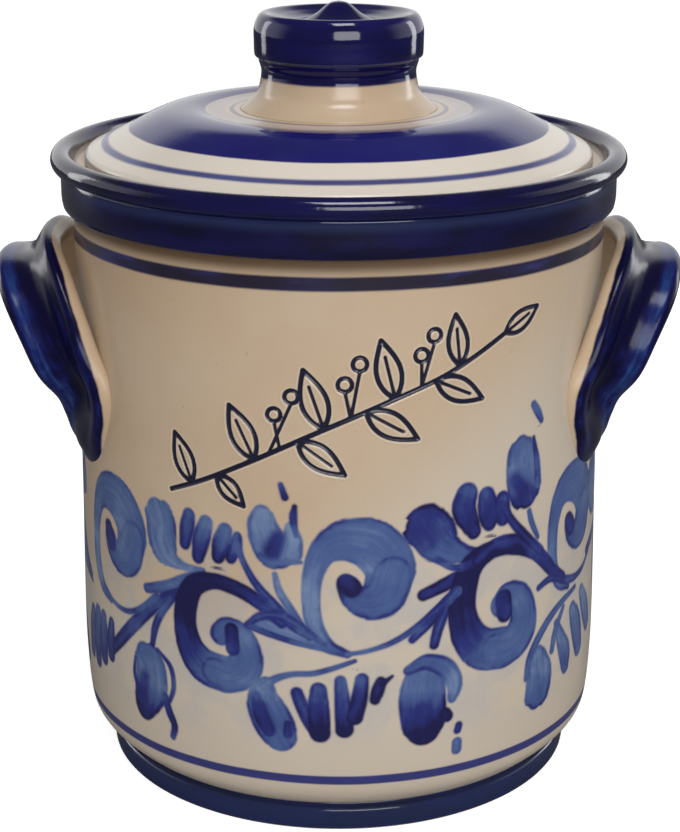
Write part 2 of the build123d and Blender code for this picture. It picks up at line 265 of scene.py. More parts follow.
# Their dark eyes
EYES = [
    ([(2.4, 100, 3.4), (4.4, 98, 3.6)], 98, 106),
    ([(-99.5, 103, 2.8), (-97, 97, 3)], 90, 86),
    ([(99, 105.5, 3.2), (101, 102, 3.4)], 90, 84),
    ([(-38, 79.5, 2.7), (-37.6, 72.5, 2.8)], 100, 84),
    ([(61.6, 86, 3.8), (62.4, 80.5, 3.6)], 100, 84),
]

# The strokes between these places round the wall are repeated under both straps
REPEATED = (-63, -14)

# Incised sprig: its stem, its leaves from foot to tip with half their breadth, its berries
SPRIG_STEM = [(-62, 127), (-48, 133), (-30, 142), (-8, 153), (15, 163), (38, 172), (60, 183)]
SPRIG_LEAVES = [
    ((-53, 131), (-60, 148), 3.8), ((-43, 135.5), (-33, 125.5), 3.2),
    ((-29, 142.5), (-38, 161), 4.2), ((-14, 150), (2, 138.5), 4),
    ((-5, 154.5), (-12, 175), 4.4), ((9, 160.5), (27, 150), 4.2),
    ((19, 164.5), (14, 185), 4.2), ((33, 170), (51, 161.5), 4),
    ((42, 174), (40, 192), 3.6), ((60, 183), (75, 190), 3.2),
]
SPRIG_BERRIES = [
    ((-20, 147), (-22, 159), 2.3), ((-24, 145), (-16, 165.5), 2.3), ((4, 158), (2, 170), 2.4),
    ((4, 158), (7, 177), 2.4), ((28, 168), (28, 179), 2.3), ((28, 168), (32.5, 185.5), 2.3),
]
# How far past its lines the mesh is made finer
SPRIG_MARGIN = 2.4
# Half the width of its stem, leaf edges, veins and berries
STEM_HALF = 0.85
LEAF_HALF = 0.80
VEIN_HALF = 0.55
BERRY_HALF = 0.70
# Its groove in millimetres: depth, half the width over which it deepens, and the raised burr
GROOVE_DEPTH = 0.6
GROOVE_SLOPE = 0.7
BURR_HEIGHT = 0.16
BURR_PLACE = 0.45
BURR_WIDTH = 0.3


def tint(red, green, blue):
    """A screen colour, 0 to 255 a channel, as the renderer's linear colour."""
    return tuple(
        (c / 255 / 12.92) if c <= 10 else ((c / 255 + 0.055) / 1.055) ** 2.4
        for c in (red, green, blue)
    )


def length(name, description, default):
    """A property that holds a length."""
    return bpy.props.FloatProperty(
        name=name, description=description, default=default, unit="LENGTH")


def paint(name, description, red, green, blue):
    """A property that holds a colour, given as a screen colour."""
    return bpy.props.FloatVectorProperty(
        name=name, description=description, default=tint(red, green, blue), size=3,
        subtype="COLOR")


def grey(level):
    """An even linear colour."""
    return level, level, level


class CrockSizes(bpy.types.PropertyGroup):
    """Sizes of the turned pieces, and how finely they are made."""

    foot_radius: length("Foot radius", "Radius of the foot", 89 * MM)
    foot_height: length("Foot height", "Height of the foot", 8.5 * MM)
    rim_height: length("Rim height", "Height of the collar's lower edge", 212.5 * MM)
    collar_radius: length("Collar radius", "Radius of the blue collar", 101.5 * MM)
    lip_radius: length(
        "Lip radius", "Radius over the rolled lip", (CAD_BOX[1][1] - CAD_BOX[0][1]) / 2)
    lip_roll: length("Lip roll", "Radius of the roll itself", 3.9 * MM)
    ledge_height: length("Ledge height", "Height of the ledge that carries the lid", 228 * MM)
    throat_radius: length("Throat radius", "Radius inside the ledge", 89.5 * MM)
    inner_radius: length("Inner radius", "Radius inside the wall", 92 * MM)
    floor_top: length("Floor height", "Height of the floor inside", 10 * MM)
    lid_radius: length("Lid radius", "Radius of the lid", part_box("lid")[1][0])
    lid_thickness: length("Lid thickness", "Thickness of the dome", 6.5 * MM)
    turns: bpy.props.IntProperty(
        name="Steps round", description="Steps round each turned piece", default=384, min=48)
    wall_step: length("Wall step", "Height of one row of the painted wall", 1.6 * MM)


class StrapSizes(bpy.types.PropertyGroup):
    """How finely the straps are made, and how uneven the pulled clay is."""

    rows: bpy.props.IntProperty(
        name="Rows", description="Rows along each strap", default=150, min=20)
    around: bpy.props.IntProperty(
        name="Points round", description="Points round one section", default=64, min=16)
    unevenness: length("Unevenness", "How far the pulled clay strays", 0.35 * MM)


class GlazeColours(bpy.types.PropertyGroup):
    """Colours of clay, glaze and brushwork."""

    clay: paint("Clay", "Salt-glazed clay", 192, 168, 140)
    toasted: paint("Toasted clay", "Clay where the flame browned it", 172, 140, 106)
    wash: paint("Wash", "Thin cobalt wash", 122, 142, 174)
    blue: paint("Blue", "Even cobalt stroke", 70, 91, 141)
    deep: paint("Deep blue", "Loaded cobalt stroke", 38, 45, 114)
    pooled: paint("Pooled blue", "Pooled cobalt stroke", 26, 25, 74)
    solid: paint("Solid cobalt", "Poured cobalt of collar, foot, knob and band", 26, 24, 98)
    ink: paint("Ink", "Thick cobalt glaze, nearly black", 12, 10, 44)


class StageSizes(bpy.types.PropertyGroup):
    """Camera and floor."""

    camera_place: bpy.props.FloatVectorProperty(
        name="Camera place", description="Where the camera stands", subtype="TRANSLATION",
        size=3, default=(0, -0.7271, 0.3625))
    camera_tilt: bpy.props.FloatProperty(
        name="Camera tilt", description="How far the camera looks down", subtype="ANGLE",
        default=math.radians(17.88))
    lens: bpy.props.FloatProperty(
        name="Lens", description="Focal length in millimetres", default=86.4)
    frame_shift: bpy.props.FloatProperty(
        name="Frame shift", description="Sideways shift of the frame", default=0.00144)
    floor_size: length("Floor size", "Width of the floor", 8)


def smooth_curve(points, count, closed=False):
    """Evenly counted places on a smooth curve through the points."""
    known = np.array(points, float)
    if closed:
        known = np.vstack([known[-1:], known, known[:2]])
    else:
        known = np.vstack([2 * known[0] - known[1], known, 2 * known[-1] - known[-2]])
    spans = len(known) - 3
    places = np.linspace(0, spans, count, endpoint=not closed)
    span = np.minimum(places.astype(int), spans - 1)
    t = (places - span)[:, None]
    before, here, there, after = (known[span + k] for k in range(4))
    return (
        here
        + t * (there - before) / 2
        + t * t * (before - 2.5 * here + 2 * there - after / 2)
        + t ** 3 * (1.5 * (here - there) + (after - before) / 2)
    )


def arc(centre, radius, first, last, count):
    """Places on an arc, with its angles in degrees."""
    angles = np.radians(np.linspace(first, last, count))
    return centre + radius * np.column_stack([np.cos(angles), np.sin(angles)])


def beside(radius, height, *steps):
    """Places on an outline, each some way out and up from the same place."""
    return [(radius + out, height + up) for out, up in steps]


def turned(name, outline, steps, cut=None):
    """A piece turned round the axis from an outline of radius and height in millimetres."""
    bm = bmesh.new()
    ring = [bm.verts.new((radius * MM, 0, height * MM)) for radius, height in outline]
    edges = [bm.edges.new(pair) for pair in zip(ring, ring[1:])]
    eighth = math.pi / 4
    bmesh.ops.spin(
        bm, geom=ring + edges, cent=(0, 0, 0), axis=(0, 0, 1), dvec=(0, 0, 0),
        angle=eighth, steps=steps // 8, use_merge=False, use_duplicate=False)
    for turn in (eighth, 2 * eighth, 4 * eighth):
        copy = bmesh.ops.duplicate(bm, geom=bm.verts[:] + bm.edges[:] + bm.faces[:])["geom"]
        copied = [item for item in copy if isinstance(item, bmesh.types.BMVert)]
        bmesh.ops.rotate(bm, verts=copied, cent=(0, 0, 0), matrix=Matrix.Rotation(turn, 3, "Z"))
    bmesh.ops.remove_doubles(bm, verts=bm.verts, dist=1e-6)
    if cut:
        cut(bm)
    return finished(name, bm)


def finished(name, bm):
    """An object from the bmesh, smooth, with its faces outward."""
    bmesh.ops.recalc_face_normals(bm, faces=bm.faces)
    for face in bm.faces:
        face.smooth = True
    mesh = bpy.data.meshes.new(name)
    bm.to_mesh(mesh)
    bm.free()
    piece = bpy.data.objects.new(name, mesh)
    bpy.context.collection.objects.link(piece)
    return piece


def note(mesh, name, rows):
    """Stores one or three numbers a point on the mesh."""
    kind, field = ("FLOAT", "value") if rows.ndim == 1 else ("FLOAT_VECTOR", "vector")
    layer = mesh.attributes.new(name, kind, "POINT")
    layer.data.foreach_set(field, np.ascontiguousarray(rows, np.float32).ravel())


def points_of(verts):
    """The points as rows of millimetres."""
    return np.array([vert.co for vert in verts]) / MM


class Flow:
    """A value on its way through a material, with its arithmetic written as in Python."""

    def __init__(self, mixture, socket):
        self.mixture = mixture
        self.socket = socket

    def sum(self, operation, *others):
        values = [getattr(other, "socket", other) for other in others]
        return self.mixture.add("Math", {"operation": operation}, self.socket, *values)

    def __add__(self, other):
        return self.sum("ADD", other)

    __radd__ = __add__

    def __mul__(self, other):
        return self.sum("MULTIPLY", other)

    __rmul__ = __mul__

    def __sub__(self, other):
        return self.sum("SUBTRACT", other)

    def __rsub__(self, other):
        return self * -1 + other

    def __truediv__(self, other):
        return self.sum("DIVIDE", other)

    def __pow__(self, other):
        return self.sum("POWER", other)

    def __abs__(self):
        return self.sum("ABSOLUTE")

    def over(self, other):
        """The larger of the two."""
        return self.sum("MAXIMUM", other)

    def under(self, other):
        """The smaller of the two."""
        return self.sum("MINIMUM", other)

    def step(self, low, high):
        """Rises softly from 0 at low to 1 at high, or falls if low is the larger."""
        return self.mixture.add(
            "MapRange", {"interpolation_type": "SMOOTHSTEP"}, self.socket, low, high, 0.0, 1.0)

    def band(self, low, high, soft):
        """1 between low and high, with soft edges."""
        return self.step(low - soft, low + soft) * self.step(high + soft, high - soft)


class Mixture:
    """A node tree being put together."""

    def __init__(self, tree):
        self.tree = tree

    def node(self, kind, settings, *values, **named):
        """Adds a node, sets it up and fills its inputs in order or by name."""
        made = self.tree.nodes.new("ShaderNode" + kind)
        for key, value in settings.items():
            setattr(made, key, value)
        for key, value in list(enumerate(values)) + list(named.items()):
            self.fill(made.inputs[key], value)
        return made

    def add(self, kind, settings, *values, **named):
        """Adds a node and gives its first output."""
        return Flow(self, self.node(kind, settings, *values, **named).outputs[0])

    def fill(self, socket, value):
        """Links or sets one input."""
        value = getattr(value, "socket", value)
        if isinstance(value, bpy.types.NodeSocket):
            self.tree.links.new(value, socket)
        elif socket.type == "RGBA":
            socket.default_value = (*value, 1)
        else:
            socket.default_value = value

    def ray(self, kind):
        """1 for rays of that kind."""
        return Flow(self, self.node("LightPath", {}).outputs[kind])

    def place(self, scale=(1, 1, 1)):
        """Object coordinates, scaled along each axis."""
        made = self.node("TexCoord", {})
        return self.add("Mapping", {}, made.outputs["Object"], Scale=scale)

    def turned_place(self):
        """Object coordinates, their x, and millimetres from the axis and above the table."""
        place = self.place()
        x, y, z = self.split(place)
        return place, x, (x * x + y * y) ** 0.5 / MM, z / MM

    def noise(self, vector, scale, detail, rough=0.5):
        """Soft noise from 0 to 1."""
        return self.add("TexNoise", {}, Vector=vector, Scale=scale, Detail=detail, Roughness=rough)

    def blend(self, share, first, second):
        """The first colour, turned into the second as share goes from 0 to 1."""
        made = self.node("Mix", {"data_type": "RGBA"})
        self.fill(made.inputs[0], share)
        self.fill(made.inputs[6], first)
        self.fill(made.inputs[7], second)
        return Flow(self, made.outputs[2])

    def split(self, vector):
        """The three numbers of a vector."""
        made = self.node("SeparateXYZ", {}, vector)
        return [Flow(self, socket) for socket in made.outputs]

    def noted(self, name):
        """The three numbers noted on the mesh under a name."""
        made = self.node("Attribute", {"attribute_name": name})
        return self.split(made.outputs["Vector"])

    def noted_number(self, name):
        """The one number noted on the mesh under a name."""
        return Flow(self, self.node("Attribute", {"attribute_name": name}).outputs["Fac"])


class Glaze(Mixture):
    """A material being mixed."""

    def __init__(self, name):
        self.material = bpy.data.materials.new(name)
        self.material.use_nodes = True
        super().__init__(self.material.node_tree)
        self.surface = self.tree.nodes["Principled BSDF"]

    def brushed(self, colours, load):
        """Cobalt from a thin wash to a dark pool, by how loaded the brush was."""
        made = self.blend(load.step(0.12, 0.56), colours.wash, colours.blue)
        made = self.blend(load.step(0.52, 0.86), made, colours.deep)
        return self.blend(load.step(0.82, 1.1), made, colours.pooled)

    def poured(self, colours, depth, thin):
        """Solid cobalt of some depth, a little uneven, and paler by the share thin: where the glaze
        ran thin, and where a reflection is painted on.
        """
        run = self.noise(self.place((1, 1, 4)), 34, 3)
        depth = (run.step(0.30, 0.75) * 0.4 + depth).under(1)
        return self.blend(thin, self.blend(depth, colours.solid, colours.ink), colours.blue)

    def clay(self, colours):
        """Salt-glazed clay with its clouds, toasting and iron specks."""
        place = self.place()
        cloud = self.noise(place, 22, 3)
        toast = self.noise(place, 9, 2)
        body = self.blend(toast.step(0.42, 0.72) * 0.30, colours.clay, colours.toasted)
        body = self.blend(cloud.step(0.35, 0.75) * 0.24, body, tint(206, 194, 174))
        specks = self.noise(place, 900, 2, 0.6).step(0.70, 0.78)
        return self.blend(specks * 0.45, body, tint(120, 92, 66))

    def skin(self, strength, extra=None):
        """Orange-peel of the salt glaze as a bump."""
        place = self.place()
        height = self.noise(place, 520, 3, 0.55) * 0.5 + self.noise(place, 130, 2) * 0.5
        if extra is not None:
            height = height + extra
        made = self.node("Bump", {}, Strength=strength, Distance=0.4 * MM, Height=height)
        return made.outputs["Normal"]

    def coat(self, colour, roughness, normal):
        """Feeds the surface."""
        self.fill(self.surface.inputs["Base Color"], colour)
        self.fill(self.surface.inputs["Roughness"], roughness)
        self.fill(self.surface.inputs["Normal"], normal)
        return self.material

    def brushwork(self, colours, base, layer, fray, water, brush):
        """Lays one layer of brush strokes over the base colour."""
        soft, ragged, streaked, rimmed = brush
        beside, beyond, nearest = self.noted(layer + "_shape")
        along, width, load = self.noted(layer + "_run")
        past = beyond.over(0)
        gap = ((beside * beside + past * past) ** 0.5 - width).over(nearest - EDGE_GUARD)
        edge = gap + fray * ragged
        bristles = self.add(
            "CombineXYZ", {}, beside * BRISTLES_ACROSS, along * BRISTLES_ALONG)
        streak = (self.noise(bristles, 1, 3, 0.55) - 0.5) * streaked
        pooled = edge.step(-2.4, -0.5) * water.step(0.3, 0.6) * rimmed
        load = load + streak + pooled + (water - 0.5) * WETNESS
        return self.blend(edge.step(soft, -soft), base, self.brushed(colours, load))


def brush_field(places, strokes):
    """Where each place lies by its nearest stroke, and what the brush was doing there.

    The first rows are the way off the stroke's middle line, the way past its ends and the
    gap to its edge, the others the way along it, half its width and its load.
    """
    shape = np.full((len(places), 3), FIELD_REACH)
    run = np.tile([0.0, 1.0, 0.5], (len(places), 1))
    for number, (points, *loads) in enumerate(strokes):
        line = smooth_curve(points, 8 * (len(points) - 1) + 1)
        reach = line[:, 2].max() + FIELD_REACH
        low, high = line[:, :2].min(axis=0) - reach, line[:, :2].max(axis=0) + reach
        near = np.flatnonzero(((places > low) & (places < high)).all(axis=1))
        start, leg = line[:-1, :2], np.diff(line[:, :2], axis=0)
        length = np.hypot(*leg.T)
        gone = np.concatenate([[0], np.cumsum(length)])
        offset = places[near, None] - start
        walked = (offset * leg).sum(axis=2) / length ** 2
        share = np.clip(walked, 0, 1)
        beside = offset - share[..., None] * leg
        width = line[:-1, 2] + share * np.diff(line[:, 2])
        gap = np.hypot(beside[..., 0], beside[..., 1]) - width
        best = gap.argmin(axis=1)
        pick = np.arange(len(near)), best
        way, off = leg[best], offset[pick]
        aside = (way[:, 0] * off[:, 1] - way[:, 1] * off[:, 0]) / length[best]
        along = gone[best] + walked[pick] * length[best]
        beyond = np.maximum(-along, along - gone[-1])
        along = np.clip(along, 0, gone[-1])
        load = np.interp(along / gone[-1], np.linspace(0, 1, len(loads)), loads) / 100
        better = gap[pick] < shape[near, 2]
        kept = near[better]
        shape[kept] = np.column_stack([aside, beyond, gap[pick]])[better]
        run[kept] = np.column_stack([along + BRISTLE_SHIFT * number, width[pick], load])[better]
    return shape, run


def clearance(line, other):
    """The narrowest gap between two brush lines, below 0 where they cross."""
    away = np.hypot(*(line[:, None, :2] - other[:, :2]).T)
    return (away - line[:, 2] - other[:, None, 2]).min()


def in_layers(strokes):
    """The strokes in layers, each above all that it crosses, and clear of others in its layer."""
    layers = []
    for stroke in strokes:
        line = smooth_curve(stroke[0], 4 * len(stroke[0]))
        gaps = [min(clearance(line, other) for _, other in layer) for layer in layers]
        lowest = max((number + 1 for number, gap in enumerate(gaps) if gap < 0), default=0)
        free = [n for n in range(lowest, len(layers)) if gaps[n] >= LAYER_CLEARANCE]
        if not free:
            layers.append([])
        layers[free[0] if free else -1].append((stroke, line))
    return [[stroke for stroke, _ in layer] for layer in layers]


def moved(strokes, shift):
    """Strokes moved round the wall."""
    return [
        ([(s + shift, z, half) for s, z, half in points], *loads) for points, *loads in strokes
    ]


def round_the_wall(strokes):
    """The front's strokes, again on the back, and the left of the middle again under each strap."""
    half_turn = PAINTED_RADIUS * math.pi
    middle_left = []
    for stroke in strokes:
        around = [place[0] for place in stroke[0]]
        if REPEATED[0] < sum(around) / len(around) < REPEATED[1]:
            middle_left.append(stroke)
    to_strap = -HANGING_CENTRE[0]
    return [
        *strokes, *moved(strokes, half_turn), *moved(strokes, -half_turn),
        *moved(middle_left, half_turn / 2 + to_strap),
        *moved(middle_left, -half_turn / 2 + to_strap),
    ]


def volute_strokes():
    """The volutes as strokes."""
    return [
        ([(s + size * x, z + size * y, size * half) for x, y, half in line], *loads)
        for lines, (s, z), size, *both_loads in VOLUTES
        for line, loads in zip(lines, both_loads)
    ]


def sprig_strokes():
    """The incised sprig as thin strokes."""
    lines = [[(*place, STEM_HALF) for place in SPRIG_STEM]]
    shares = np.linspace(0, 1, 7)
    for foot, tip, half in SPRIG_LEAVES:
        foot, tip = np.array(foot, float), np.array(tip, float)
        axis = tip - foot
        aside = np.array([-axis[1], axis[0]]) / np.hypot(*axis)
        for side in (-half, half):
            edge = [foot + t * axis + side * math.sin(math.pi * t ** 0.85) * aside for t in shares]
            lines.append([(*place, LEAF_HALF) for place in edge])
        lines.append([(*(foot + t * axis), VEIN_HALF) for t in (0.0, 0.4, 0.72)])
    for foot, (s, z), radius in SPRIG_BERRIES:
        turns = np.linspace(-math.pi / 2, 1.5 * math.pi, 9)
        lines.append([
            (s + radius * math.cos(turn), z + radius * math.sin(turn), BERRY_HALF)
            for turn in turns
        ])
        lines.append([(*foot, VEIN_HALF), (s, z - radius, VEIN_HALF)])
    return [(line, 100) for line in lines]


def places_round(points):
    """Millimetres round the outer wall from its front, and up it, for points in millimetres."""
    radius = np.hypot(points[:, 0], points[:, 1])
    around = PAINTED_RADIUS * np.arctan2(points[:, 0], -points[:, 1])
    around[(radius < PAINTED_OUTSIDE) | (points[:, 2] > PAINTED_BELOW)] = NOWHERE
    return np.column_stack([around, points[:, 2]])


def cut_sprig(bm):
    """Cuts the sprig into the wall, with a finer mesh along its lines."""
    lines = sprig_strokes()

    def with_gaps(verts):
        return zip(verts, brush_field(places_round(points_of(verts)), lines)[0][:, 2])

    near = {vert for vert, gap in with_gaps(list(bm.verts)) if gap < SPRIG_MARGIN}
    edges = [edge for edge in bm.edges if near.issuperset(edge.verts)]
    bmesh.ops.subdivide_edges(bm, edges=edges, cuts=2, use_grid_fill=True)
    for vert, gap in with_gaps(list(bm.verts)):
        if gap < SPRIG_MARGIN / 2:
            groove = GROOVE_DEPTH * min(max(-gap / GROOVE_SLOPE, 0), 1) ** 0.5
            burr = BURR_HEIGHT * math.exp(-((gap - BURR_PLACE) / BURR_WIDTH) ** 2)
            shrink = 1 - (groove - burr) / PAINTED_RADIUS
            vert.co.x *= shrink
            vert.co.y *= shrink


def wall_outline(sizes):
    """The crock's whole section in millimetres, from under the floor to the floor inside."""
    foot, foot_top = sizes.foot_radius / MM, sizes.foot_height / MM
    rim, collar = sizes.rim_height / MM, sizes.collar_radius / MM
    roll = sizes.lip_roll / MM
    lip = (sizes.lip_radius / MM - roll, rim + 17.2)
    ledge, throat = sizes.ledge_height / MM, sizes.throat_radius / MM
    inner, floor = sizes.inner_radius / MM, sizes.floor_top / MM
    wall = smooth_curve(WALL_OUTLINE, 400)
    rows = round((wall[-1, 1] - wall[0, 1]) / (sizes.wall_step / MM)) + 1
    wall = wall[np.linspace(0, len(wall) - 1, rows).astype(int)]
    heights = np.linspace(wall[0, 1], wall[-1, 1], rows)
    wall = np.column_stack([np.interp(heights, wall[:, 1], wall[:, 0]), heights])
    underside = [
        (0, 3), *beside(foot, 0, (-30, 3), (-11.6, 3), (-11, 2.4), (-11, 0.8), (-10.3, 0), (-6, 0)),
        *arc((foot - 1.2, 1.2), 1.2, -90, 0, 5),
    ]
    foot_side = [
        (foot, 3), (foot, 5), *arc((foot - 1.2, foot_top - 1.2), 1.2, 0, 90, 5),
        *beside(foot, foot_top, (-2.6, 0.1), (-3.2, 0.5), (-3.3, 1.2), (-2.2, 1.9)),
    ]
    collar_side = [
        *beside(collar, rim, (-3.8, 0.15), (-2.6, 0)),
        *arc((collar - 1.9, rim + 1.6), 1.6, -80, -30, 4),
        *beside(collar, rim, (-0.15, 2.6), (0, 4.3), (0, 6.5), (0, 9), (0, 11.5)),
        *arc((collar - 0.9, rim + 12.8), 0.9, 0, 80, 4),
        (collar - 0.6, rim + 14.2), *arc(lip, roll, -50, 150, 26),
    ]
    mouth = [
        *beside(lip[0] - roll, ledge, (-0.1, 1.6), (-0.5, 0.4), (-1.2, 0)),
        (throat + 3.5, ledge), *arc((throat + 0.9, ledge - 0.9), 0.9, 90, 180, 4),
        *beside(throat, ledge, (0, -5), (0, -9), (0.5, -11)), (inner - 0.4, ledge - 17.5),
    ]
    inside = [
        (inner, ledge - 20), (inner, 150), (inner, 90), (inner, floor + 30),
        *arc((inner - 18, floor + 18), 18, 0, -90, 9), (inner - 40, floor), (inner - 65, floor),
        (0, floor),
    ]
    return [*underside, *foot_side, *wall, *collar_side, *mouth, *inside]


def strap_sections(straps, side):
    """Points of the strap's sections, with what the brush needs to know about each."""
    rows, around = straps.rows, straps.around

    def both_halves(table, mirrored):
        rear = [(-row[0], *row[1:]) if mirrored else row for row in reversed(table[1:])]
        return smooth_curve([*rear, *table], rows)

    def in_space(edge):
        turn, radius, height = np.radians(edge[:, 0]), edge[:, 1], edge[:, 2]
        return np.column_stack([radius * np.cos(turn), -radius * np.sin(turn), height])

    inner = in_space(both_halves(STRAP_INNER_EDGE, True))
    outer = in_space(both_halves(STRAP_OUTER_EDGE, True))
    body = both_halves(STRAP_BODY, False)
    middle = (inner + outer) / 2
    along = np.gradient(middle, axis=0)
    gone = np.concatenate([[0], np.cumsum(np.linalg.norm(np.diff(middle, axis=0), axis=1))])
    gone -= gone[-1] / 2
    across = outer - inner
    breadth = np.linalg.norm(across, axis=1)
    face = np.cross(along, across)
    face /= np.linalg.norm(face, axis=1)[:, None]
    points, brushing, rise = [], [], []
    for row in range(rows):
        thick, channel, hump = body[row]
        section = []
        for number, (share, up) in enumerate(STRAP_SECTION):
            up = channel if up is None else up
            if number < STRAP_FACE_POINTS:
                edge, top = STRAP_HUMP
                full = edge + (top - edge) * math.sqrt(max(math.sin(math.pi * share), 0))
                up += (full - up) * hump
            section.append((share, up))
        curve = smooth_curve(section, around, closed=True)
        wander = straps.unevenness / MM * math.sin(0.21 * gone[row] + 1.3) * (1 - hump)
        height = (curve[:, 1] - 0.5) * (thick + wander)
        points.append(inner[row] + curve[:, :1] * across[row] + height[:, None] * face[row])
        flat = np.column_stack([curve[:, 0] * breadth[row], height])
        step = np.linalg.norm(np.diff(flat, axis=0), axis=1)
        walked = np.concatenate([[0], np.cumsum(step)])
        outer_edge = walked[round(around * (STRAP_FACE_POINTS - 1) / len(STRAP_SECTION))]
        inside = np.minimum(walked - STRAP_BARE, outer_edge + STRAP_OVERRUN - walked)
        brushing.append(np.column_stack([inside, curve[:, 0], np.full(around, gone[row])]))
        rise.append(curve[:, 1])
    points = np.array(points)
    points[..., 0] *= side
    return points * MM, np.vstack(brushing), np.concatenate(rise)


def strap_piece(name, straps, side):
    """One pulled strap, from a ring of points at each section."""
    points, brushing, rise = strap_sections(straps, side)
    bm = bmesh.new()
    rings = []
    for row in points:
        ring = bmesh.ops.create_circle(bm, segments=straps.around, radius=1)["verts"]
        for vert, place in zip(ring, row):
            vert.co = place
        rings.append(list({edge for vert in ring for edge in vert.link_edges}))
    for fore, aft in zip(rings, rings[1:]):
        bmesh.ops.bridge_loops(bm, edges=fore + aft)
    bmesh.ops.holes_fill(bm, edges=rings[0] + rings[-1], sides=0)
    piece = finished(name, bm)
    note(piece.data, "brushing", brushing)
    note(piece.data, "rise", rise)
    return piece


def wall_glaze(colours, layers):
    """Salt glaze with lines, brushwork, the incised sprig and the blue collar and foot."""
    glaze = Glaze("painted_salt_glaze")
    place, x, radius, z = glaze.turned_place()
    height = z + (glaze.noise(place, 24, 2) - 0.5) * 0.9
    fray = glaze.noise(place, 300, 2) - 0.5
    water = glaze.noise(place, 75, 3, 0.55)

    # Painted light: the clay is painted paler low on the wall and towards its right side, standing
    # in for brighter light there
    pale = (height - x / MM * 0.9).step(145, 80).over(height.step(100, 60)) * 0.85
    colour = glaze.blend(pale, glaze.clay(colours), tint(200, 188, 171))
    watery = height.band(42, 108, 12) * water.step(0.38, 0.62) * 0.32
    colour = glaze.blend(watery, colour, tint(158, 166, 178))
    for layer, brush in layers:
        colour = glaze.brushwork(colours, colour, layer, fray, water, brush)

    outside = radius.step(95.0, 96.5)
    # Painted shade: the clay just below the collar is darkened to brown, for the shadow the collar
    # casts
    shade = height.step(205.5, 210.5) * outside * 0.92
    colour = glaze.blend(shade, colour, tint(88, 66, 44))
    run = glaze.noise(glaze.place((1, 1, 5)), 30, 3)
    # The upper line is inked nearly black, darker than the lower line: partly its own cobalt,
    # partly painted shade from the collar above
    ink_and_painted_shade = height.step(195, 203) * run.step(0.25, 0.6)
    ring = glaze.blend(ink_and_painted_shade, glaze.brushed(colours, run * 0.30 + 0.70), colours.ink)
    rings = height.band(201.6, 206.4, 0.5).over(height.band(22.9, 26.4, 0.4)) * outside
    colour = glaze.blend(rings * 0.97, colour, ring)

    gap = glaze.noted_number("sprig_gap")
    colour = glaze.blend(gap.band(0.25, 0.65, 0.2) * 0.30, colour, tint(226, 218, 205))
    colour = glaze.blend(gap.step(0.22, -0.12), colour, tint(26, 28, 50))

    collar = z.step(211.9, 212.6) * radius.step(98.2, 99.0)
    lip = z.step(229.0, 230.0) * radius.step(96.4, 98.0)
    foot = z.step(10.6, 9.2) * z.step(0.2, 0.9) * radius.step(80.0, 84.0)
    cobalt = collar.over(lip).over(foot)
    # Painted reflection: a paler band is painted high on the collar, just under the lip; the foot
    # is also a little paler all round
    thin = z.band(222.5, 226.0, 2.0) * 0.20 + foot * 0.20
    colour = glaze.blend(cobalt, colour, glaze.poured(colours, 0.70, thin))
    bare = z.step(3.4, 3.1) * radius.step(88.6, 88.0)
    colour = glaze.blend(bare, colour, tint(176, 146, 112))
    roughness = 0.24 - cobalt * 0.13 + bare * 0.5
    throwing = glaze.noise(glaze.place((0.2, 0.2, 1)), 90, 2) * 1.2
    return glaze.coat(colour, roughness, glaze.skin(0.16, throwing))


def strap_glaze(colours):
    """Cobalt brushed along the strap, with bare glazed clay on its inner side."""
    glaze = Glaze("brushed_cobalt_strap")
    inside, across, along = glaze.noted("brushing")
    place = glaze.place()
    grain = glaze.add(
        "CombineXYZ", {}, across * 26, along * 0.10, glaze.noted_number("rise") * 3)
    streak = glaze.noise(grain, 0.7, 3, 0.6) - 0.5
    mottle = glaze.noise(place, 150, 3, 0.6) - 0.5
    legs = abs(along).step(38, 58)
    pale = across.band(0.70, 0.86, 0.07) * (1 - legs * 0.3) * 0.36
    dark = across.band(0.34, 0.60, 0.08) * 0.16
    load = 1.04 + streak * 0.62 + mottle * (0.20 + legs * 0.5) - pale + dark - legs * 0.10
    cobalt = glaze.blend(load.step(0.30, 0.88), tint(40, 78, 130), tint(22, 26, 86))
    cobalt = glaze.blend(load.step(0.72, 1.06), cobalt, colours.ink)
    edge = inside + (glaze.noise(place, 120, 2) - 0.5) * 1.4
    covered = edge.step(-0.4, 0.7)
    colour = glaze.blend(covered, glaze.clay(colours), cobalt)
    roughness = 0.24 - covered * 0.05
    glaze.surface.inputs["IOR"].default_value = 1.3
    return glaze.coat(colour, roughness, glaze.skin(0.14))


def lid_glaze(colours):
    """Cream lid with a broad blue band and two thin lines."""
    glaze = Glaze("banded_lid_glaze")
    place, _, radius, z = glaze.turned_place()
    radius = radius + (glaze.noise(place, 30, 2) - 0.5) * 0.9
    top = (z + radius * 0.2).step(243.5, 245.5)
    run = glaze.noise(place, 36, 3)
    lines = radius.band(83.9, 86.5, 0.7).over(radius.band(38.2, 39.9, 0.4) * 0.7)
    creamy = radius.step(60, 78) * 0.75 + 0.10
    cream = glaze.blend(creamy, glaze.clay(colours), tint(222, 214, 202))
    cream = glaze.blend(radius.band(41.5, 48.6, 1.0) * 0.40, cream, tint(150, 158, 184))
    colour = glaze.blend(lines * top * 0.94, cream, glaze.brushed(colours, run * 0.4 + 0.58))
    band = radius.band(48.6, 76.4, 0.4) * top
    colour = glaze.blend(band, colour, glaze.poured(colours, -0.2, run.step(0.4, 0.8) * 0.10))
    roughness = 0.22 - band * 0.12
    return glaze.coat(colour, roughness, glaze.skin(0.12))


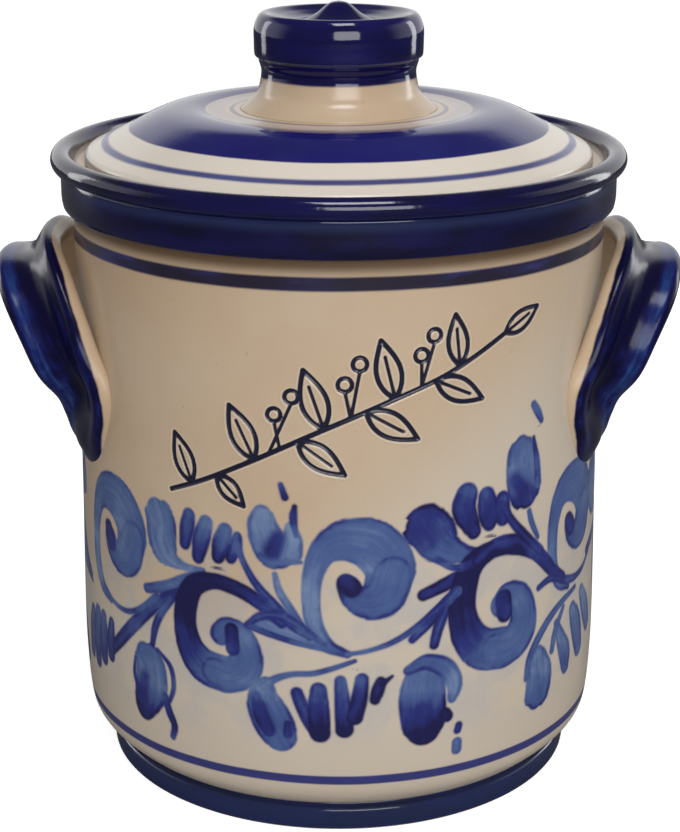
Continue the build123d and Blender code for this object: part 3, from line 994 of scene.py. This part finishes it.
def knob_glaze(colours):
    """Blue knob on a cream neck."""
    glaze = Glaze("dipped_knob_glaze")
    place, _, radius, z = glaze.turned_place()
    height = z + (glaze.noise(place, 40, 2) - 0.5) * 0.8
    blue = height.step(257.2, 258.2) * radius.over(height - 250).step(20.8, 21.6)
    thin = height.band(264.7, 265.5, 0.3) * 0.30
    colour = glaze.blend(blue, glaze.clay(colours), glaze.poured(colours, 0.45, thin))
    roughness = 0.22 - blue * 0.13
    return glaze.coat(colour, roughness, glaze.skin(0.12))


class CROCK_OT_wall(bpy.types.Operator):
    """Turns the crock and paints its wall"""

    bl_idname = "crock.wall"
    bl_label = "Painted wall"

    def execute(self, context):
        sizes, colours = context.scene.crock_sizes, context.scene.crock_colours
        wall = turned("painted_wall", wall_outline(sizes), sizes.turns, cut_sprig)
        place = places_round(points_of(wall.data.vertices))
        note(wall.data, "sprig_gap", brush_field(place, sprig_strokes())[0][:, 2])
        painting = {"wash": WASHES, "stroke": volute_strokes() + EYES + STROKES, "pool": POOLS}
        layers = []
        for kind, strokes in painting.items():
            for number, layer in enumerate(in_layers(round_the_wall(strokes))):
                name = f"{kind}_{number}"
                layers.append((name, BRUSHES[kind]))
                for field, rows in zip(("_shape", "_run"), brush_field(place, layer)):
                    note(wall.data, name + field, rows)
        wall.data.materials.append(wall_glaze(colours, layers))
        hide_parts("pot_body")
        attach(wall, "pot")
        return {"FINISHED"}


class CROCK_OT_straps(bpy.types.Operator):
    """Pulls the two straps and brushes them blue"""

    bl_idname = "crock.straps"
    bl_label = "Strap handles"

    def execute(self, context):
        straps, colours = context.scene.crock_straps, context.scene.crock_colours
        glaze = strap_glaze(colours)
        sides = ("strap_right", "handle_right", 1), ("strap_left", "handle_left", -1)
        for name, node, side in sides:
            strap = strap_piece(name, straps, side)
            strap.data.materials.append(glaze)
            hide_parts(node)
            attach(strap, "pot")
        return {"FINISHED"}


class CROCK_OT_lid(bpy.types.Operator):
    """Turns the lid and bands it"""

    bl_idname = "crock.lid"
    bl_label = "Banded lid"

    def execute(self, context):
        sizes, colours = context.scene.crock_sizes, context.scene.crock_colours
        edge, thick = sizes.lid_radius / MM, sizes.lid_thickness / MM
        seat = sizes.ledge_height / MM
        throat = sizes.throat_radius / MM
        crown, hole = CROWN_HEIGHT, HOLLOW_RADIUS
        dome = smooth_curve(LID_OUTLINE, 60)
        under = [(radius, height - thick) for radius, height in dome[::3] if radius < throat - 8.5]
        ring = throat - 2.4
        outline = [
            *beside(hole, crown, (0, 0), (6, 0), (11, 0)), *dome[:-1],
            *arc((edge - 1.6, seat + 2.6), 1.6, 62, 0, 5), (edge, seat + 0.5), (edge - 0.5, seat),
            (ring + 0.4, seat), (ring, seat - 0.5), *arc((ring - 1.5, seat - 5.5), 1.5, 0, -90, 5),
            *arc((ring - 3.5, seat - 5.5), 1.5, -90, -180, 5), (ring - 5, seat), *reversed(under),
            *beside(hole, crown - thick, (6, 0), (0.5, 0), (0, 0.5)), (hole, crown),
        ]
        lid = turned("banded_lid", outline, sizes.turns)
        lid.data.materials.append(lid_glaze(colours))
        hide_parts("lid")
        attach(lid, "lid")
        return {"FINISHED"}


class CROCK_OT_knob(bpy.types.Operator):
    """Turns the knob and dips it"""

    bl_idname = "crock.knob"
    bl_label = "Dipped knob"

    def execute(self, context):
        sizes, colours = context.scene.crock_sizes, context.scene.crock_colours
        crown, hollow = CROWN_HEIGHT, HOLLOW_RADIUS
        outline = [
            (0, crown + 24), (hollow - 12, crown + 24),
            *arc((hollow - 6, crown + 18), 6, 90, 0, 8),
            *beside(hollow, crown, (0, 11.8), (0, 3.8), (0, 0), (8, 0)),
            *smooth_curve(KNOB_OUTLINE, 130),
        ]
        knob = turned("dipped_knob", outline, sizes.turns // 2)
        knob.data.materials.append(knob_glaze(colours))
        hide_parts("lid_knob")
        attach(knob, "lid")
        return {"FINISHED"}


def lamp(name, place, aim, width, height, power):
    """A softbox that looks at a place."""
    light = bpy.data.lights.new(name, "AREA")
    light.shape = "RECTANGLE"
    light.size, light.size_y, light.energy = width, height, power
    stand = bpy.data.objects.new(name, light)
    stand.location = place
    stand.rotation_euler = (Vector(aim) - Vector(place)).to_track_quat("-Z", "Y").to_euler()
    bpy.context.collection.objects.link(stand)


class CROCK_OT_stage(bpy.types.Operator):
    """Sets the camera, the lamps, the sky and the floor"""

    bl_idname = "crock.stage"
    bl_label = "Stage"

    def execute(self, context):
        stage = context.scene.crock_stage
        camera = bpy.data.cameras.new("camera")
        camera.sensor_fit, camera.sensor_width, camera.sensor_height = "VERTICAL", 36, 36
        camera.lens, camera.shift_x = stage.lens, stage.frame_shift
        camera.clip_end = 50
        eye = bpy.data.objects.new("camera", camera)
        eye.location = stage.camera_place
        eye.rotation_euler = (math.pi / 2 - stage.camera_tilt, 0, 0)
        context.collection.objects.link(eye)
        context.scene.camera = eye
        context.scene.view_settings.view_transform = "Standard"

        middle = (0, 0, 0.14)
        lamp("top_lamp", (0.12, -0.62, 1.75), middle, 0.6, 0.6, 11)
        lamp("front_lamp", (0.35, -1.75, 0.75), middle, 1.1, 0.9, 17)
        lamp("left_lamp", (-1.25, 0.75, 0.45), middle, 0.3, 0.9, 2.5)
        lamp("right_lamp", (1.25, 0.75, 0.45), middle, 0.3, 0.9, 3.5)

        bm = bmesh.new()
        bmesh.ops.create_grid(bm, x_segments=1, y_segments=1, size=stage.floor_size / 2)
        floor = finished("floor", bm)
        paper = Glaze("white_paper")
        base = paper.blend(paper.ray("Is Glossy Ray"), grey(0.60), grey(0.12))
        glow = paper.blend(paper.ray("Is Camera Ray"), grey(0), grey(0.80))
        paper.fill(paper.surface.inputs["Base Color"], base)
        paper.fill(paper.surface.inputs["Roughness"], 0.9)
        paper.fill(paper.surface.inputs["Emission Color"], glow)
        paper.surface.inputs["Emission Strength"].default_value = 1
        floor.data.materials.append(paper.material)

        world = bpy.data.worlds.new("white_room")
        context.scene.world = world
        world.use_nodes = True
        sky = Mixture(world.node_tree)
        _, back, up = sky.split(sky.node("TexCoord", {}).outputs["Generated"])
        screen = up.step(0.62, 0.42) * back.step(-0.35, 0.15)
        studio = sky.blend(screen, (0.10, 0.10, 0.11), grey(0.95))
        room = sky.blend(sky.ray("Is Glossy Ray"), (0.30, 0.30, 0.31), studio)
        room = sky.blend(sky.ray("Is Camera Ray"), room, grey(1))
        sky.fill(sky.tree.nodes["Background"].inputs["Color"], room)
        return {"FINISHED"}


class CROCK_PT_panel(bpy.types.Panel):
    """Lists the crock's pieces"""

    bl_label = "Painted crock"
    bl_idname = "CROCK_PT_panel"
    bl_space_type = "VIEW_3D"
    bl_region_type = "UI"
    bl_category = "Crock"

    def draw(self, context):
        for operator in OPERATORS:
            self.layout.operator(operator.bl_idname)


GROUPS = {
    "crock_sizes": CrockSizes,
    "crock_straps": StrapSizes,
    "crock_colours": GlazeColours,
    "crock_stage": StageSizes,
}
OPERATORS = (CROCK_OT_wall, CROCK_OT_straps, CROCK_OT_lid, CROCK_OT_knob, CROCK_OT_stage)


def register():
    for name, group in GROUPS.items():
        bpy.utils.register_class(group)
        setattr(bpy.types.Scene, name, bpy.props.PointerProperty(type=group))
    for operator in OPERATORS:
        bpy.utils.register_class(operator)
    bpy.utils.register_class(CROCK_PT_panel)


def unregister():
    bpy.utils.unregister_class(CROCK_PT_panel)
    for operator in reversed(OPERATORS):
        bpy.utils.unregister_class(operator)
    for name, group in reversed(GROUPS.items()):
        delattr(bpy.types.Scene, name)
        bpy.utils.unregister_class(group)


def main():
    register()
    bpy.ops.crock.stage()
    bpy.ops.crock.wall()
    bpy.ops.crock.straps()
    bpy.ops.crock.lid()
    bpy.ops.crock.knob()


if __name__ == "__main__":
    main()
